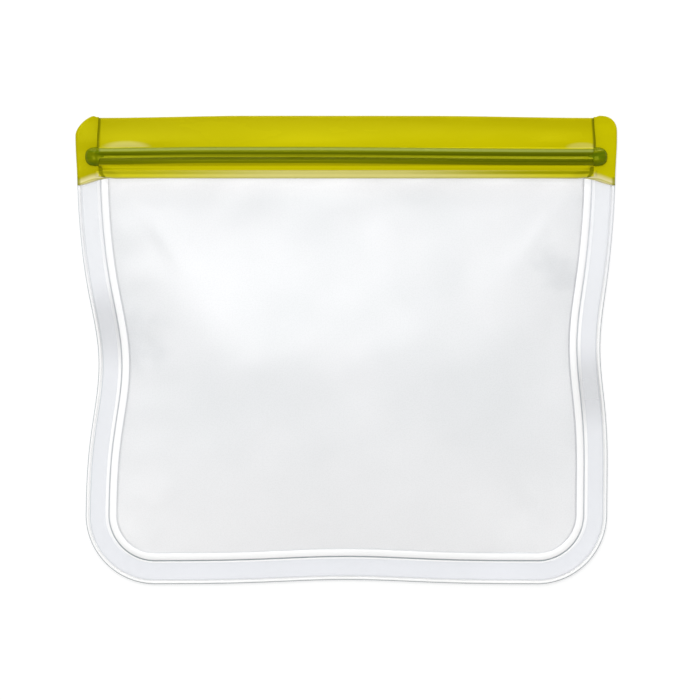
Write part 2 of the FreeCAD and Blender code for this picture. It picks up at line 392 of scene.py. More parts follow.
class Nodes:
    """A new node material, and short ways to add nodes to it."""

    def __init__(self, name):
        self.material = bpy.data.materials.new(name)
        self.material.use_nodes = True
        self.tree = self.material.node_tree
        self.tree.nodes.clear()

    def add(self, kind, inputs=None, **settings):
        node = self.tree.nodes.new("ShaderNode" + kind)
        for key, value in settings.items():
            setattr(node, key, value)
        for key, value in (inputs or {}).items():
            if isinstance(value, bpy.types.NodeSocket):
                self.tree.links.new(value, node.inputs[key])
            else:
                node.inputs[key].default_value = value
        return node

    def plan(self):
        """x, y and the whole point of the plan, in millimetres."""
        place = self.add("UVMap", uv_map="plan").outputs[0]
        scaled = self.add("VectorMath", {0: place, 1: (1 / MM, 1 / MM, 0)}, operation="MULTIPLY")
        split = self.add("SeparateXYZ", {0: scaled.outputs[0]})
        return split.outputs[0], split.outputs[1], scaled.outputs[0]

    def math(self, operation, a, b=0.0):
        return self.add("Math", {0: a, 1: b}, operation=operation).outputs[0]

    def apart(self, a, b):
        """How far one value is from another."""
        return self.math("ABSOLUTE", self.math("SUBTRACT", a, b))

    def oval(self, x, y, centre, half):
        """0 at the centre of an oval, 1 on its edge; half is its half width and half height."""
        across = self.math("DIVIDE", self.math("SUBTRACT", x, centre[0]), half[0])
        along = self.math("DIVIDE", self.math("SUBTRACT", y, centre[1]), half[1])
        return self.math("ADD", self.math("MULTIPLY", across, across), self.math("MULTIPLY", along, along))

    def noise(self, place, size, detail=2.0, stretch=(1, 1, 1)):
        """Noise with features about size millimetres across."""
        scaled = self.add("VectorMath", {0: place, 1: stretch}, operation="MULTIPLY").outputs[0]
        return self.add("TexNoise", {"Vector": scaled, "Scale": 1 / size, "Detail": detail}).outputs[0]

    def ramp(self, fac, stops, interpolation="LINEAR"):
        """Colours at places along a 0 to 1 value."""
        node = self.add("ValToRGB", {0: fac})
        band = node.color_ramp
        band.interpolation = interpolation
        while len(band.elements) < len(stops):
            band.elements.new(0.5)
        for element, (place, colour) in zip(band.elements, stops):
            element.position = place
            element.color = colour
        return node.outputs[0]

    def spread(self, value, low, high, to_low=0.0, to_high=1.0):
        """A value between low and high, mapped smoothly to another range and held at its ends."""
        inputs = {0: value, 1: low, 2: high, 3: to_low, 4: to_high}
        return self.add("MapRange", inputs, interpolation_type="SMOOTHSTEP").outputs[0]

    def mix(self, fac, a, b, blend_type="MIX"):
        return self.add("Mix", {0: fac, 6: a, 7: b}, data_type="RGBA", blend_type=blend_type).outputs[2]

    def bump(self, height, strength, distance):
        inputs = {"Height": height, "Strength": strength, "Distance": distance * MM}
        return self.add("Bump", inputs).outputs[0]

    def finish(self, shader):
        out = self.add("OutputMaterial")
        self.tree.links.new(shader, out.inputs[0])
        return self.material


def frosted_film():
    """Milky matt film with a fine grain, with painted shade in a few soft patches for its slack wrinkles, and
    painted light that brightens it towards the bottom and near the header.
    """
    n = Nodes("frosted_film")
    x, y, place = n.plan()
    cloud = n.noise(place, 45.0, 2.0)
    grain = n.noise(place, 0.5, 3.0)
    ragged = n.noise(place, 9.0, 1.0)
    tone = n.mix(n.spread(cloud, 0.3, 0.7), srgb(234, 236, 238), srgb(242, 243, 245))
    # Painted shade: soft grey patches where slack wrinkles would shade the film
    for centre_x, centre_y, half_wide, half_high in SHADE_PATCHES:
        apart = n.oval(x, y, (centre_x, centre_y), (half_wide, half_high))
        apart = n.math("ADD", apart, n.spread(ragged, 0.3, 0.7, -0.5, 0.8))
        tone = n.mix(n.spread(apart, -0.2, 2.2, 0.45, 0.0), tone, srgb(212, 214, 218))
    # Painted light: brighter towards the bottom, where the crown slopes away from the key light
    tone = n.mix(n.spread(y, POCKET, POCKET + 60, 0.8, 0.0), tone, srgb(253, 253, 254))
    # Painted light near the header, with the film less clear there too, so that the header's shadow on the
    # floor doesn't show through it
    tone = n.mix(n.spread(y, HEADER_LOW - 9, HEADER_LOW), tone, srgb(249, 249, 250))
    shader = n.add("BsdfPrincipled", {
        "Base Color": tone,
        "Roughness": n.spread(grain, 0.2, 0.8, 0.22, 0.34),
        "Alpha": n.spread(y, HEADER_LOW - 5, HEADER_LOW, 0.5, 0.66),
        "Normal": n.bump(grain, 0.3, 0.03),
        "IOR": 1.45,
    })
    return n.finish(shader.outputs[0])


def clear_inner():
    """Inner face of a film, nearly invisible: the outer face carries the film's tone."""
    n = Nodes("clear_inner")
    grain = n.noise(n.plan()[2], 0.5, 3.0)
    shader = n.add("BsdfPrincipled", {
        "Base Color": srgb(248, 249, 250),
        "Roughness": n.spread(grain, 0.2, 0.8, 0.3, 0.45),
        "Alpha": 0.06,
        "IOR": 1.45,
    })
    return n.finish(shader.outputs[0])


def clear_weld(name, reach, below, sides, shade=0.1, toward_header=(219, 222, 228)):
    """Clear glossy weld; its tint and opacity change with the inset, and differ between bottom and sides.

    below and sides list (inset in mm, 8-bit colour, alpha), shade is how much painted shade darkens it at the
    waist, and toward_header is the 8-bit colour that it turns to near the header.
    """
    n = Nodes(name)
    along, inset, place = n.plan()
    share = n.math("DIVIDE", inset, reach)
    melt = n.noise(place, 2.6, 2.0, stretch=(0.35, 1, 1))
    middle = outline_length() / 2
    from_middle = n.apart(along, middle)
    at_side = n.spread(from_middle, 75, 120)
    tones = [
        n.ramp(share, [(edge / reach, srgb(*colour)) for edge, colour, alpha in stops])
        for stops in (below, sides)
    ]
    covers = [
        n.ramp(share, [(edge / reach, grey(alpha)) for edge, colour, alpha in stops])
        for stops in (below, sides)
    ]
    tone = n.mix(at_side, *tones)
    cover = n.mix(at_side, *covers)
    tone = n.mix(n.spread(from_middle, middle - 56, middle - 22, 0.0, 0.55), tone, srgb(*toward_header))
    # Painted shade where the border turns away from the light at the waist
    for waist in (WAIST_RIGHT, outline_length() - WAIST_LEFT):
        tone = n.mix(n.spread(n.apart(along, waist), 2, 19, shade, 0.0), tone, srgb(140, 144, 150))
    pressed = n.spread(n.noise(place, 55.0, 2.0), 0.35, 0.65, 0.0, 0.3)
    shader = n.add("BsdfPrincipled", {
        "Base Color": n.mix(pressed, tone, srgb(236, 236, 234), blend_type="MULTIPLY"),
        "Roughness": n.spread(melt, 0.3, 0.7, 0.08, 0.2),
        "Alpha": cover,
        "Normal": n.bump(melt, 0.25, 0.12),
        "IOR": 1.45,
    })
    return n.finish(shader.outputs[0])


def edge_bead_material():
    """A painted highlight in white, with a painted dark line round the very edge that stands in for the rim's
    refraction of dark surroundings.
    """
    # line is a painted dark edge line; the white is a painted highlight
    def stops(line):
        return [(0.0, line, 0.85), (0.22, line, 0.85), (0.36, HIGHLIGHT_WHITE, 0.6), (EDGE_BEAD, HIGHLIGHT_WHITE, 0.6)]
    return clear_weld("clear_edge_bead", EDGE_BEAD, stops((92, 108, 114)), stops((134, 146, 152)))


def band_material():
    """A flat tone, with the edge bead's grey foot outside it, and inside it a painted highlight (the shine)
    and a thin painted dark line that adds to the real groove's shade by the seam bead.
    """
    def stops(flat, foot, shine_from, line_from, line):
        return [
            (EDGE_BEAD, HIGHLIGHT_WHITE, 0.6), (1.42, HIGHLIGHT_WHITE, 0.6),
            (1.58, foot, 0.55), (1.74, foot, 0.55),
            (2.0, flat, 0.45), (shine_from, flat, 0.45),
            (shine_from + 0.25, HIGHLIGHT_WHITE, 0.6), (line_from - 0.15, HIGHLIGHT_WHITE, 0.6),
            (line_from, line, 0.75), (BAND, line, 0.75),
        ]
    below = stops((219, 222, 231), (200, 204, 212), 7.75, BAND - 0.22, (112, 126, 132))
    sides = stops((212, 215, 223), (176, 184, 192), 7.2, BAND - 0.25, (186, 192, 198))
    return clear_weld("clear_band", BAND, below, sides, shade=0.6)


def seam_bead_material():
    """A painted highlight in white along its round top, between the last of the band's thin painted dark line
    and a soft grey foot.
    """
    def stops(line, foot):
        return [
            (BAND, line, 0.7), (BAND + 0.08, line, 0.7),
            (BAND + 0.3, HIGHLIGHT_WHITE, 0.75), (POCKET - 0.75, HIGHLIGHT_WHITE, 0.75),
            (POCKET - 0.5, foot, 0.6), (POCKET, foot, 0.6),
        ]
    below = stops((140, 152, 158), (226, 228, 232))
    sides = stops((206, 210, 214), (206, 209, 215))
    return clear_weld("clear_seam_bead", POCKET, below, sides, toward_header=(246, 247, 249))


def tinted(name, colour_of, clear=0.15, roughness=0.22, grain=9.0):
    """Translucent coloured film: part of what lies behind shows through, tinted."""
    n = Nodes(name)
    x, y, place = n.plan()
    flow = n.noise(place, grain, 3.0, stretch=(0.25, 1, 1))
    body = n.add("BsdfPrincipled", {
        "Base Color": colour_of(n, x, y, flow),
        "Roughness": n.spread(flow, 0.3, 0.7, roughness - 0.05, roughness + 0.08),
        "Specular IOR Level": 0.35,
        "Specular Tint": (1, 0.95, 0.05, 1),
        "Normal": n.bump(flow, 0.2, 0.25),
        "IOR": 1.45,
    })
    through = n.add("BsdfTransparent", {0: (0.80, 0.76, 0.0, 1)})
    both = n.add("MixShader", {0: 1 - clear, 1: through.outputs[0], 2: body.outputs[0]})
    return n.finish(both.outputs[0])


def glare_share(n, x, y):
    """How far a painted reflection pales the film by each end of the zip, where it stands off the tracks."""
    centre = n.spread(x, -60, 60, 81.0, 87.0), TRACKS[1] + 1.7
    half = n.spread(x, -60, 60, 9.5, 6.5), n.spread(x, -60, 60, 2.6, 2.0)
    apart = n.oval(n.math("ABSOLUTE", x), y, centre, half)
    return n.math("MULTIPLY", n.spread(apart, 0.25, 1.1, 1.0, 0.0), n.spread(x, -60, 60, 0.8, 0.5))


def fold_share(n, x, y):
    """How far painted shade darkens the film where it folds down to a side seal, adding to the real fold's
    shading, leaning in above and below the zip.
    """
    fold = n.math("SUBTRACT", n.math("ABSOLUTE", x), SEAL_X - 0.25)
    fold = n.math("ADD", fold, n.spread(y, TRACKS[1] + 3, TRACKS[1] + 13, 0.0, 0.6))
    fold = n.math("ABSOLUTE", n.math("ADD", fold, n.spread(y, TRACKS[0] - 3, TRACKS[0] - 1, 1.1, 0.0)))
    solid = n.spread(y, TRACKS[0] - 2, TRACKS[0], 0.6, 0.2)
    return n.spread(fold, solid, 1.0, 0.9, 0.0)


def foot_line_share(n, x, y):
    """How far the film darkens along its foot, in a line that is widest and strongest at the right."""
    line = n.math("DIVIDE", n.apart(y, HEADER_FILM_LOW + 0.5), n.spread(x, -60, 90, 0.3, 0.62))
    strength = n.math("ADD", n.spread(x, 0, 50, 0.25, 0.35), n.spread(x, -85, -60, 0.4, 0.0))
    return n.math("MULTIPLY", n.spread(line, 0.4, 1.0, 1.0, 0.0), strength)


def track_tones(n, x, y):
    """Tones of the two tracks seen through the film, with painted highlights along the upper ridge's top and
    in the valley and painted shade on the lower ridge, and how far they cover it; both droop at the ends.
    """
    film, foot, shade, green = (204, 195, 2), (132, 134, 0), (112, 118, 0), (82, 90, 0)
    # glint and valley_glint are painted highlights that add to the strip light's real reflection; shade is
    # painted shade
    valley_glint, dark, glint, rim = (160, 162, 16), (98, 108, 0), (144, 155, 70), (124, 131, 26)
    reach = 4.0
    tones = (
        (-3.2, film), (-2.7, (192, 184, 2)), (-2.45, foot), (-2.1, shade), (-1.7, shade), (-1.25, green),
        (-0.45, green), (0.0, valley_glint), (0.55, valley_glint), (0.9, dark), (1.6, dark), (2.1, (110, 120, 8)),
        (2.45, glint), (3.0, glint), (3.35, rim), (3.75, film),
    )
    droop = n.math("ADD", n.spread(x, -20, 85, 0.0, 0.75), n.spread(x, -92, -50, 0.45, 0.0))
    height = n.math("ADD", n.math("SUBTRACT", y, sum(TRACKS) / 2 - reach), droop)
    stops = [((place + reach) / (2 * reach), srgb(*tone)) for place, tone in tones]
    covered = n.math("MULTIPLY", n.spread(height, 0.8, 1.1), n.spread(height, 7.6, 7.8, 1.0, 0.0))
    return n.ramp(n.math("DIVIDE", height, 2 * reach), stops), covered


def header_colour(n, x, y, flow):
    """Yellow-green, with painted shade that darkens it towards the curved lips, painted light under the
    tracks, a painted reflection by each end of the zip, the tracks showing through with painted highlights,
    and the painted shade of a fold at each end.
    """
    # Painted shade: darker towards the lips, where they curve away from the light
    base = n.mix(n.spread(y, TRACKS[1] + 2.5, HEIGHT), srgb(197, 188, 0), srgb(177, 167, 0))
    base = n.mix(n.spread(x, -96, -20, 0.55, 0.0), base, srgb(168, 160, 0))
    base = n.mix(n.spread(flow, 0.4, 0.8, 0.0, 0.7), base, srgb(188, 179, 0))
    # Painted light below the tracks, lifting the shade that they cast there
    base = n.mix(n.spread(y, TRACKS[0] - 3.4, TRACKS[0] - 1.4, 0.8, 0.0), base, srgb(214, 204, 4))
    # Painted reflection by each end of the zip
    base = n.mix(glare_share(n, x, y), base, srgb(212, 205, 112))
    # Painted shade of the fold at each end, over the real fold's own shading
    base = n.mix(fold_share(n, x, y), base, srgb(*FOLD_SHADE))
    base = n.mix(foot_line_share(n, x, y), base, srgb(152, 150, 0))
    ridges, covered = track_tones(n, x, y)
    return n.mix(covered, base, ridges)


def seal_colour(n, x, y, flow):
    """Yellow-green, with a cream patch at the foot where the body film is melted over it."""
    side = n.math("ABSOLUTE", x)
    base = n.mix(n.spread(flow, 0.3, 0.75), srgb(203, 195, 2), srgb(192, 183, 0))
    base = n.mix(n.spread(x, -60, 60, 0.75, 0.25), base, srgb(170, 162, 0))
    slant = n.math("ADD", y, n.spread(side, SEAL_X, HALF_WIDTH, -1.3, 0.8))
    base = n.mix(n.spread(slant, SEAL_LOW[1] + 1.6, SEAL_LOW[1] + 3.6, 1.0, 0.0), base, srgb(*CREAM))
    line = n.apart(slant, SEAL_LOW[1] + 1.1)
    base = n.mix(n.spread(line, 0.1, 0.35, 0.6, 0.0), base, srgb(176, 172, 40))
    tick = n.math("MULTIPLY", n.spread(side, HALF_WIDTH - 2.2, HALF_WIDTH - 1.3),
                  n.spread(y, SEAL_LOW[1] + 2.5, SEAL_LOW[1] + 3.5, 0.8, 0.0))
    return n.mix(tick, base, srgb(140, 138, 0))


def lap_colour(n, x, y, flow):
    """Header colour seen through the frosted film, palest in the middle of the bag, with the painted shade of
    the fold near each end, and cream at its ends.
    """
    side = n.math("ABSOLUTE", x)
    pale = n.mix(n.spread(side, 20, 82), srgb(214, 205, 126), srgb(206, 197, 30))
    pale = n.mix(n.spread(y, HEADER_LOW, HEADER_LOW + 0.8, 0.6, 0.0), pale, srgb(206, 202, 118))
    line = n.apart(y, HEADER_FILM_LOW - 0.85)
    strength = n.math("ADD", n.spread(side, 15, 75, 0.2, 0.6), n.spread(x, 0, 80, 0.0, 0.4))
    strength = n.math("MULTIPLY", strength, n.spread(side, SEAL_X - 2.2, SEAL_X - 1.0, 1.0, 0.0))
    pale = n.mix(n.math("MULTIPLY", n.spread(line, 0.3, 0.9, 1.0, 0.0), strength), pale, srgb(150, 148, 0))
    # Painted shade of the fold at each end, leaning in towards the foot
    low = n.spread(y, HEADER_LOW + 0.3, HEADER_FILM_LOW - 0.4, 1.0, 0.0)
    inwards = n.math("MULTIPLY", low, low)
    fold = n.math("ABSOLUTE", n.math("ADD", n.math("SUBTRACT", side, SEAL_X - 1.35), inwards))
    pale = n.mix(n.spread(fold, 0.5, 1.0, 0.85, 0.0), pale, srgb(*FOLD_SHADE))
    melted = n.math("MULTIPLY", n.spread(side, SEAL_X - 0.8, SEAL_X - 0.4),
                    n.spread(y, SEAL_LOW[1] + 2.9, SEAL_LOW[1] + 4.9, 1.0, 0.0))
    return n.mix(melted, pale, srgb(*CREAM))


def zip_colour(n, x, y, flow):
    """Dark green, a little uneven."""
    return n.mix(n.spread(flow, 0.35, 0.65), srgb(84, 104, 2), srgb(106, 114, 0))


def bulb_plastic():
    """The tracks' plastic, for pieces that have no plan."""
    n = Nodes("bulb_plastic")
    place = n.add("TexCoord").outputs["Object"]
    streak = n.add("TexNoise", {"Vector": place, "Scale": 260.0, "Detail": 2.0}).outputs[0]
    shader = n.add("BsdfPrincipled", {
        "Base Color": n.mix(n.spread(streak, 0.3, 0.7), srgb(100, 110, 2), srgb(116, 126, 6)),
        "Roughness": n.spread(streak, 0.3, 0.7, 0.2, 0.32),
    })
    return n.finish(shader.outputs[0])


# ---------------------------------------------------------------- films of the pocket

def film_grid(inset, high):
    """Grid over the pocket that follows the outline and its round corners: x, y and -1 to 1 across."""
    radius = CORNER_RADIUS - inset
    corner = inset + radius * (1 - np.cos(np.linspace(0, math.pi / 2, 15)))
    rows = np.concatenate([corner[:-1], np.arange(inset + radius, high - GRID / 2, GRID), [high]])
    u, v = np.meshgrid(np.linspace(-1, 1, int(2 * BODY_HALF / GRID)), rows, indexing="ij")
    x = u * inset_half(v, inset)
    y = v + bottom_edge(x) * smooth(1 - (v - inset) / 40)
    return x, y, u


def crown_z(x, y, across):
    """Height of the filled front film's outer face."""
    below = np.clip((CROWN_Y - y) / (CROWN_Y - POCKET - bottom_edge(x)), 0, 1)
    above = smooth((y - CROWN_Y) / (HEADER_LOW - CROWN_Y))
    fullness = np.where(y < CROWN_Y, 1 - below ** ALONG_POWER, 1 - above)
    swell = CROWN * fullness * (1 - np.abs(across) ** ACROSS_POWER)
    lift = (HEADER_TOP_Z - FILM_EDGE_Z) * smooth((y - LIFT_FROM) / (HEADER_LOW - LIFT_FROM))
    return FILM_EDGE_Z + swell + lift * (1 - np.abs(across) ** LIFT_POWER)


def near(distance, reach):
    """0 at a weld, 1 at one reach from it and fading further in."""
    t = np.clip(distance, 0, None) / reach
    return t * np.exp(1 - t)


def creases(x, y):
    """A few long soft folds that run from the header's ends and the bottom corners towards the middle."""
    z = 0 * x
    for start_x, start_y, heading, length, height in FOLDS:
        along_x, along_y = math.cos(math.radians(heading)), math.sin(math.radians(heading))
        along = (x - start_x) * along_x + (y - start_y) * along_y
        apart = (y - start_y) * along_x - (x - start_x) * along_y
        width = 2.2 + 0.06 * np.clip(along, 0, length)
        share = np.clip(along / length, 0, 1)
        z = z + height * np.exp(-((apart / width) ** 2)) * np.sin(math.pi * share ** 0.7) ** 2
    return z


def wrinkles(x, y):
    """Slack in the front film: short puckers along the welds, soft dents at the waist and slow waves."""
    side = inset_half(y, POCKET) - np.abs(x)
    foot = y - POCKET - bottom_edge(x)
    head = HEADER_LOW - y
    inside = smooth(side / 14) * smooth(foot / 14) * smooth(head / 12)
    z = 0.55 * undulation(x, y, 3, 62) * inside
    z = z + 0.16 * undulation(x, y, 8, 24) * inside
    z = z + 0.15 * undulation(0.35 * x + 60 * np.sign(x), y, 5, 17) * near(side, 6)
    z = z + 0.20 * undulation(x, 0.35 * y, 6, 15) * near(foot, 7)
    z = z + 0.20 * undulation(x, 0.35 * y, 7, 21) * near(head, 9)
    z = z + creases(x, y) * inside
    for centre_x, centre_y, reach, depth in DENTS:
        z = z - depth * bump(x, centre_x, DENT_WIDE) * bump(y, centre_y, reach) * smooth(side / 8)
    return z


def make_pocket(materials):
    """The filled front film and the flat back film, cut alike."""
    x, y, across = film_grid(POCKET - FILM_OVERLAP, HEADER_LOW + FILM_TUCK)
    top = np.stack([x, y, crown_z(x, y, across) + wrinkles(x, y)], axis=-1)
    front = film("front_film", top, under(top, FILM), materials)
    flat = np.stack([x, y, np.full_like(x, FILM) + 0.06 * undulation(x, y, 11, 50)], axis=-1)
    floor = flat * [1, 1, 0]
    back = film("back_film", flat, floor, materials, inner="top")
    return front, back


# ---------------------------------------------------------------- welded border

def border(name, outer, inner, height_at, materials):
    """A strip of the border between two insets, swept along the outline.

    height_at(t, s, points) is its top: t is 0 to 1 across it and s is the distance along the outline.
    """
    points, normals = outline_path()
    step = np.linalg.norm(np.diff(points, axis=0), axis=1)
    run = np.concatenate([[0], np.cumsum(step)])
    t = np.linspace(0, 1, 13)
    insets = outer + (inner - outer) * t
    s_grid, t_grid = np.meshgrid(run, t, indexing="ij")
    top = height_at(t_grid, s_grid, points)
    inset_grid = np.broadcast_to(insets, top.shape)
    place = points[:, None, :] + normals[:, None, :] * inset_grid[..., None]
    upper = np.concatenate([place, top[..., None]], axis=-1)
    lower = np.concatenate([place[:, [-1, 0]], np.zeros((len(points), 2, 1))], axis=-1)
    stations = np.concatenate([upper, lower], axis=1)
    plan_inset = np.concatenate([inset_grid, inset_grid[:, [-1, 0]]], axis=1)
    plan = np.stack([np.broadcast_to(run[:, None], plan_inset.shape), plan_inset], axis=-1)
    return sweep(name, stations, plan, materials, inner_columns=[len(t)])


def near_seal(points):
    """1 along the border, falling to 0 where the side seals cover it."""
    return smooth((SEAL_LOW[1] - points[:, 1]) / 2.5)[:, None]


def round_bead(low, high, seed):
    """Profile of a bead that is round on top, with the slight unevenness of a melted edge."""
    def profile(t, s, points):
        arch = np.sqrt(np.clip(1 - (2 * t - 1) ** 2, 0, 1))
        uneven = 1 + BEAD_WOBBLE * undulation(s, 0 * s, seed, 26)
        return low + (high - low) * arch * uneven * (0.35 + 0.65 * near_seal(points))
    return profile


def flat_band(t, s, points):
    """The weld band, pressed flat between two shallow grooves."""
    groove = 0.14 * (bump(t, 0.0, 0.05) + bump(t, 1.0, 0.05))
    return BAND_TOP - groove + 0.03 * undulation(s, 12 * t, 21, 19)


def make_border(clear):
    """Edge bead, band and seam bead; the second material is for the face that they lie on."""
    rim = round_bead(EDGE_SHOULDER, BEAD_TOP, 31)
    tube = round_bead(SEAM_SHOULDER, SEAM_TOP, 32)
    return [
        border("edge_bead_rim", 0, EDGE_BEAD, rim, [edge_bead_material(), clear]),
        border("weld_band_strip", EDGE_BEAD, BAND, flat_band, [band_material(), clear]),
        border("seam_bead_tube", BAND, POCKET, tube, [seam_bead_material(), clear]),
    ]


# ---------------------------------------------------------------- header

def crease_x(y):
    """Where the header film folds down to the side seal, at a height."""
    return SEAL_X - 0.1 - 0.6 * smooth((y - TRACKS[1] - 3) / 10) - 1.1 * smooth((TRACKS[0] - y) / 6)


def header_base(x, y):
    """Height of the front header film away from the tracks: level, and down to the seals at both ends."""
    end = crease_x(y) + 0.6
    start = DROP_FROM + (SEAL_X - 1.4 - DROP_FROM) * smooth((y - HEADER_LOW) / 6)
    drop = (HEADER_TOP_Z - SEAL_TOP + 0.2) * smooth((np.abs(x) - start) / (end - start))
    settle = 0.55 * smooth((y - TRACKS[1] - 3) / (HEIGHT - TRACKS[1] - 3))
    wave = 0.22 * undulation(x, 0 * y, 41, 70) * smooth((y - TRACKS[1]) / 9) * taper_across(x) ** 0.5
    swell = 0.35 * bump(np.abs(x), 80, 9) * bump(y, TRACKS[1] + 3.4, 2.6)
    return HEADER_TOP_Z - drop - settle * taper_across(x) ** 0.25 + wave + swell


def over_tracks(y):
    """Height of the film where it lies over the two tracks, and far below the bag elsewhere."""
    radius = JAW_OUTER + FILM
    nowhere = -9.0
    height = np.full_like(y, nowhere)
    for track in TRACKS:
        arch = np.sqrt(np.clip(radius ** 2 - (y - track) ** 2, 0, None))
        height = np.maximum(height, np.where(np.abs(y - track) < radius, TRACK_Z + arch, nowhere))
    between = np.abs(y - sum(TRACKS) / 2) < (TRACKS[1] - TRACKS[0]) / 2
    return np.where(between, np.maximum(height, TRACK_Z + 0.95), height)


def blend_max(a, b, k):
    """The higher of two heights, rounded where they meet."""
    h = np.clip(0.5 + (b - a) / (2 * k), 0, 1)
    return a + (b - a) * h + k * h * (1 - h)


def header_rows(low, high):
    """Rows along y, close together over the tracks."""
    reach = JAW_OUTER + FILM + 0.5
    foot, head = TRACKS[0] - reach, TRACKS[1] + reach
    fine = np.arange(foot, head, 0.12)
    return np.concatenate([np.arange(low, foot, 0.5), fine, np.linspace(head, high, 16)])


def lip_sag(x, y, seed):
    """How far the header's free edge hangs below its top line, most towards the seals."""
    sag = 0.75 * smooth((np.abs(x) - 30) / 62) + 0.2 * undulation(x, 0 * y, seed, 120)
    return np.clip(sag, 0, 1) * smooth((y - HEIGHT + 8) / 8)


def places_across(into_seal):
    """Places along x, one grid step apart, from this far inside one side seal to the other."""
    return np.arange(-SEAL_X - into_seal, SEAL_X + into_seal + 0.05, GRID)


def make_front_header(materials):
    """The strip over the tracks, with closer points where it comes down to the seals."""
    reach = SEAL_X + FRONT_END
    level = SEAL_X - 3
    xs = np.concatenate([
        np.linspace(-reach, -level, 16)[:-1],
        np.arange(-level, level, GRID),
        np.linspace(level, reach, 16),
    ])
    x, y = np.meshgrid(xs, header_rows(HEADER_FILM_LOW - 0.6, HEIGHT - 0.15), indexing="ij")
    crushed = 3.0 * smooth((np.abs(x) - SEAL_X + 1.2) / 1.6)
    z = blend_max(header_base(x, y), over_tracks(y) - crushed, 0.16)
    top = np.stack([x, y - lip_sag(x, y, 44), z], axis=-1)
    return film("front_header", top, under(top, FILM), materials, plan=np.stack([x, y], axis=-1))


def make_back_header(materials):
    """The flat strip behind the tracks, rising a little towards its lip."""
    x, y = np.meshgrid(places_across(BACK_END), np.linspace(HEADER_FILM_LOW, HEIGHT, 24), indexing="ij")
    rise = 0.25 * smooth((y - TRACKS[1] - 3) / 12) * (1 + 0.6 * undulation(x, 0 * y, 46, 60))
    bottom = np.stack([x, y - lip_sag(x, y, 47), rise], axis=-1)
    top = bottom + [0, 0, FILM]
    return film("back_header", top, bottom, materials)


def make_lap(name, level, materials, thickness):
    """The strip where a body film is melted onto the header's foot, with soft long edges."""
    x, across = np.meshgrid(places_across(LAP_END), np.linspace(0, 1, 13), indexing="ij")
    foot = HEADER_LOW + LAP_RISE * smooth((np.abs(x) - LAP_RISE_FROM) / 8)
    y = foot + across * (HEADER_FILM_LOW - foot)
    arch = np.clip(1 - (2 * across - 1) ** 8, 0, 1)
    plan = np.stack([x, HEADER_LOW + across * (HEADER_FILM_LOW - HEADER_LOW)], axis=-1)
    top = np.stack([x, y, level(x, y) + LAP_ARCH * arch], axis=-1)
    bottom = top - np.stack([0 * x, 0 * x, thickness - LAP_ARCH + LAP_ARCH * arch], axis=-1)
    return film(name, top, bottom, materials, plan=plan)


# ---------------------------------------------------------------- seals, stops and tracks

def side_name(side):
    return "right" if side > 0 else "left"


def seal_outer(y, side):
    """Outer side of a side seal at a height; the left one's top corner is larger and less square."""
    radius = RIGHT_CORNER if side > 0 else LEFT_CORNER
    squareness = RIGHT_SQUARENESS if side > 0 else LEFT_SQUARENESS
    rise = np.clip(y - (HEIGHT - radius), 0, radius) / radius
    lean = 0.7 * (1 - smooth((y - SEAL_LOW[1]) / 18))
    return HALF_WIDTH - lean - radius + radius * (1 - rise ** squareness) ** (1 / squareness)


def make_seal(side, materials):
    """Flat end of the header, where both films are melted together."""
    straight = HEIGHT - LEFT_CORNER
    rows = np.concatenate([
        np.linspace(SEAL_LOW[1], straight, 34)[:-1],
        straight + LEFT_CORNER * np.sin(np.linspace(0, math.pi / 2, 19)),
    ])
    u, v = np.meshgrid(np.linspace(0, 1, 21), rows, indexing="ij")
    start = SEAL_X - SEAL_TUCK - TONGUE_LONG * (1 - smooth((v - SEAL_LOW[1]) / TONGUE_HIGH))
    x = start + u * (seal_outer(v, side) - start)
    slant = FOOT_SLANT * (1 - smooth(u)) * (1 - smooth((v - SEAL_LOW[1]) / 9))
    y = v + slant - 0.45 * (1 - smooth((x - SEAL_X) / 1.6)) * smooth((v - HEIGHT + 6) / 6)
    edge = np.minimum(1, (1 - u) * 9) ** 0.5
    z = SEAL_TOP - 0.35 * (1 - edge) + 0.06 * undulation(x, y, 50 + side, 7)
    top = np.stack([side * x, y, z], axis=-1)
    bottom = np.stack([side * x, y, 0 * z], axis=-1)
    return film("side_seal_flat_" + side_name(side), top, bottom, materials)


def make_stop(side, material):
    """Crushed end of the zip: a rounded lump that the two ridges run into."""
    middle = (STOP_LOW[1] + STOP_HIGH[1]) / 2
    half = (STOP_HIGH[1] - STOP_LOW[1]) / 2 + 0.15
    centre = SEAL_X + 0.2
    reach = STOP_HIGH[0] - centre
    angle = np.linspace(0, 2 * math.pi, 64, endpoint=False)
    roundness = 0.78     # 1 would make the lump an oval
    along = np.sign(np.cos(angle)) * np.abs(np.cos(angle)) ** roundness
    across = np.sign(np.sin(angle)) * np.abs(np.sin(angle)) ** roundness
    stations = []
    for lift in np.sin(np.linspace(0, math.pi / 2, 18)):
        shrink = max(0.02, (1 - lift ** 3) ** 0.5)
        x = centre + reach * along * shrink
        y = middle + half * across * shrink
        tip = smooth((x - centre) / reach)
        ridges = 0.5 * (bump(y, TRACKS[0], 0.85) + bump(y, TRACKS[1], 0.85)) * (1 - tip)
        pinch = 0.35 * bump(x, centre - 0.6, 0.8)
        z = 0.6 + (STOP_HIGH[2] - 1.1) * lift + (ridges - pinch) * lift ** 2
        z = z + 0.08 * undulation(x, y, 60 + side, 2.5) * lift
        stations.append(np.stack([side * x, y, z], axis=-1))
    stations = np.array(stations)
    return sweep("zip_end_" + side_name(side), stations, stations[..., :2], [material])


